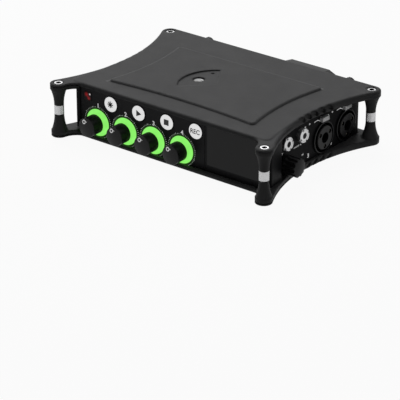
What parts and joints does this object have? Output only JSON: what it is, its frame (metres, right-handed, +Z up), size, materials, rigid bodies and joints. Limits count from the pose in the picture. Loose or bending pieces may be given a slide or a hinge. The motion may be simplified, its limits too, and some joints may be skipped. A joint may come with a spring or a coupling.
{
  "type": "portable field recorder",
  "caption": "Flat portable audio recorder with flared corner posts, knobs and buttons on the front, sockets on both sides and a battery sled behind.",
  "frame": {"origin": "centre of the resting pad on the underside, midway between the four posts", "axes": "+Z up, +X to the right and -Y to the front, where the knobs are"},
  "size_m": [0.16, 0.12, 0.036],
  "materials": {
    "cast_shell": "fine matte powder coat",
    "cast_frame": "fine matte powder coat",
    "steel": "plain",
    "silver_collar": "knurled and anodised",
    "panel_black": "fine satin",
    "light_guide": "lit light guide",
    "red_window": "tinted window",
    "display_glass": "satin display window",
    "display_dark": "display, off",
    "switch_plastic": "plain",
    "socket_plastic": "satin",
    "button_white": "satin",
    "latch_grey": "satin",
    "circuit_board": "solder mask",
    "sled_plastic": "fine texture",
    "cell_wrap": "plain wrap",
    "black_metal": "ribbed",
    "knob_rubber": "smooth soft touch"
  },
  "bodies": {
    "chassis": {"battery_bay": "panel_black", "board_screws": "steel", "bottom_shell": "cast_shell", "card_slot": "steel", "combo_barrels": "socket_plastic", "combo_inserts": "socket_plastic", "control_board": "circuit_board", "corner_screws": "steel", "display_module": "display_dark", "front_panel": "panel_black", "hdmi_port": "steel", "jack_nuts": "silver_collar", "jack_sockets": "socket_plastic", "led_window": "red_window", "left_board": "circuit_board", "left_panel": "panel_black", "light_rings": "light_guide", "main_board": "circuit_board", "post_collars": "silver_collar", "potentiometers": "steel", "power_switch": "switch_plastic", "right_board": "circuit_board", "right_panel": "panel_black", "screen_glass": "display_glass", "side_frames": "cast_frame", "tact_switches": "switch_plastic", "thread_inserts": "steel", "top_shell": "cast_shell", "usb_a_port": "steel", "usb_c_port": "steel"},
    "push_plunger_1": {"push_plunger_1": "switch_plastic"},
    "channel_knob_1": {"channel_knob_1": "knob_rubber", "knob_shaft_1": "steel"},
    "push_plunger_2": {"push_plunger_2": "switch_plastic"},
    "channel_knob_2": {"channel_knob_2": "knob_rubber", "knob_shaft_2": "steel"},
    "push_plunger_3": {"push_plunger_3": "switch_plastic"},
    "channel_knob_3": {"channel_knob_3": "knob_rubber", "knob_shaft_3": "steel"},
    "push_plunger_4": {"push_plunger_4": "switch_plastic"},
    "channel_knob_4": {"channel_knob_4": "knob_rubber", "knob_shaft_4": "steel"},
    "headphone_plunger": {"headphone_plunger": "switch_plastic"},
    "headphone_knob": {"headphone_knob": "knob_rubber", "headphone_shaft": "steel"},
    "star_button": {"star_button": "button_white"},
    "play_button": {"play_button": "button_white"},
    "stop_button": {"stop_button": "button_white"},
    "record_button": {"record_button": "button_white"},
    "latch_tab_1": {"latch_tab_1": "latch_grey"},
    "latch_tab_2": {"latch_tab_2": "latch_grey"},
    "latch_tab_3": {"latch_tab_3": "latch_grey"},
    "latch_tab_4": {"latch_tab_4": "latch_grey"},
    "power_slider": {"power_slider": "button_white"},
    "battery_sled": {"battery_sled": "sled_plastic", "battery_cells": "cell_wrap", "sled_contacts": "steel"},
    "thumb_screw_left": {"thumb_screw_left": "black_metal"},
    "thumb_screw_right": {"thumb_screw_right": "black_metal"}
  },
  "joints": [
    {"name": "channel_push_1", "type": "slide", "parent": "chassis", "child": "push_plunger_1", "axis": [0, 1, 0], "range_m": [0, 0.0005], "stiffness_N_per_m": 800},
    {"name": "channel_turn_1", "type": "hinge", "parent": "push_plunger_1", "child": "channel_knob_1", "pos_m": [-0.0542, -0.041, 0.011], "axis": [0, 1, 0], "range_deg": [-178, 122]},
    {"name": "channel_push_2", "type": "slide", "parent": "chassis", "child": "push_plunger_2", "axis": [0, 1, 0], "range_m": [0, 0.0005], "stiffness_N_per_m": 800},
    {"name": "channel_turn_2", "type": "hinge", "parent": "push_plunger_2", "child": "channel_knob_2", "pos_m": [-0.0334, -0.041, 0.011], "axis": [0, 1, 0], "range_deg": [-178, 122]},
    {"name": "channel_push_3", "type": "slide", "parent": "chassis", "child": "push_plunger_3", "axis": [0, 1, 0], "range_m": [0, 0.0005], "stiffness_N_per_m": 800},
    {"name": "channel_turn_3", "type": "hinge", "parent": "push_plunger_3", "child": "channel_knob_3", "pos_m": [-0.0126, -0.041, 0.011], "axis": [0, 1, 0], "range_deg": [-178, 122]},
    {"name": "channel_push_4", "type": "slide", "parent": "chassis", "child": "push_plunger_4", "axis": [0, 1, 0], "range_m": [0, 0.0005], "stiffness_N_per_m": 800},
    {"name": "channel_turn_4", "type": "hinge", "parent": "push_plunger_4", "child": "channel_knob_4", "pos_m": [0.0082, -0.041, 0.011], "axis": [0, 1, 0], "range_deg": [-178, 122]},
    {"name": "headphone_push", "type": "slide", "parent": "chassis", "child": "headphone_plunger", "axis": [-1, 0, 0], "range_m": [0, 0.0005], "stiffness_N_per_m": 800},
    {"name": "headphone_turn", "type": "hinge", "parent": "headphone_plunger", "child": "headphone_knob", "pos_m": [0.066, -0.021, 0.0115], "axis": [-1, 0, 0], "continuous": true},
    {"name": "star_press", "type": "slide", "parent": "chassis", "child": "star_button", "axis": [0, 1, 0], "range_m": [0, 0.0006], "stiffness_N_per_m": 600},
    {"name": "play_press", "type": "slide", "parent": "chassis", "child": "play_button", "axis": [0, 1, 0], "range_m": [0, 0.0006], "stiffness_N_per_m": 600},
    {"name": "stop_press", "type": "slide", "parent": "chassis", "child": "stop_button", "axis": [0, 1, 0], "range_m": [0, 0.0006], "stiffness_N_per_m": 600},
    {"name": "record_press", "type": "slide", "parent": "chassis", "child": "record_button", "axis": [0, 1, 0], "range_m": [0, 0.0006], "stiffness_N_per_m": 600},
    {"name": "latch_press_1", "type": "slide", "parent": "chassis", "child": "latch_tab_1", "axis": [1, 0, 0], "range_m": [0, 0.001], "stiffness_N_per_m": 500},
    {"name": "latch_press_2", "type": "slide", "parent": "chassis", "child": "latch_tab_2", "axis": [1, 0, 0], "range_m": [0, 0.001], "stiffness_N_per_m": 500},
    {"name": "latch_press_3", "type": "slide", "parent": "chassis", "child": "latch_tab_3", "axis": [-1, 0, 0], "range_m": [0, 0.001], "stiffness_N_per_m": 500},
    {"name": "latch_press_4", "type": "slide", "parent": "chassis", "child": "latch_tab_4", "axis": [-1, 0, 0], "range_m": [0, 0.001], "stiffness_N_per_m": 500},
    {"name": "power_slide", "type": "slide", "parent": "chassis", "child": "power_slider", "axis": [0, -1, 0], "range_m": [0, 0.004]},
    {"name": "sled_slide", "type": "slide", "parent": "chassis", "child": "battery_sled", "axis": [0, 1, 0], "range_m": [0, 0.035]},
    {"name": "thumb_turn_left", "type": "hinge", "parent": "battery_sled", "child": "thumb_screw_left", "pos_m": [-0.0523, 0.0577, 0.0292], "axis": [0, 1, 0], "continuous": true},
    {"name": "thumb_turn_right", "type": "hinge", "parent": "battery_sled", "child": "thumb_screw_right", "pos_m": [0.0523, 0.0577, 0.0292], "axis": [0, 1, 0], "continuous": true}
  ]
}
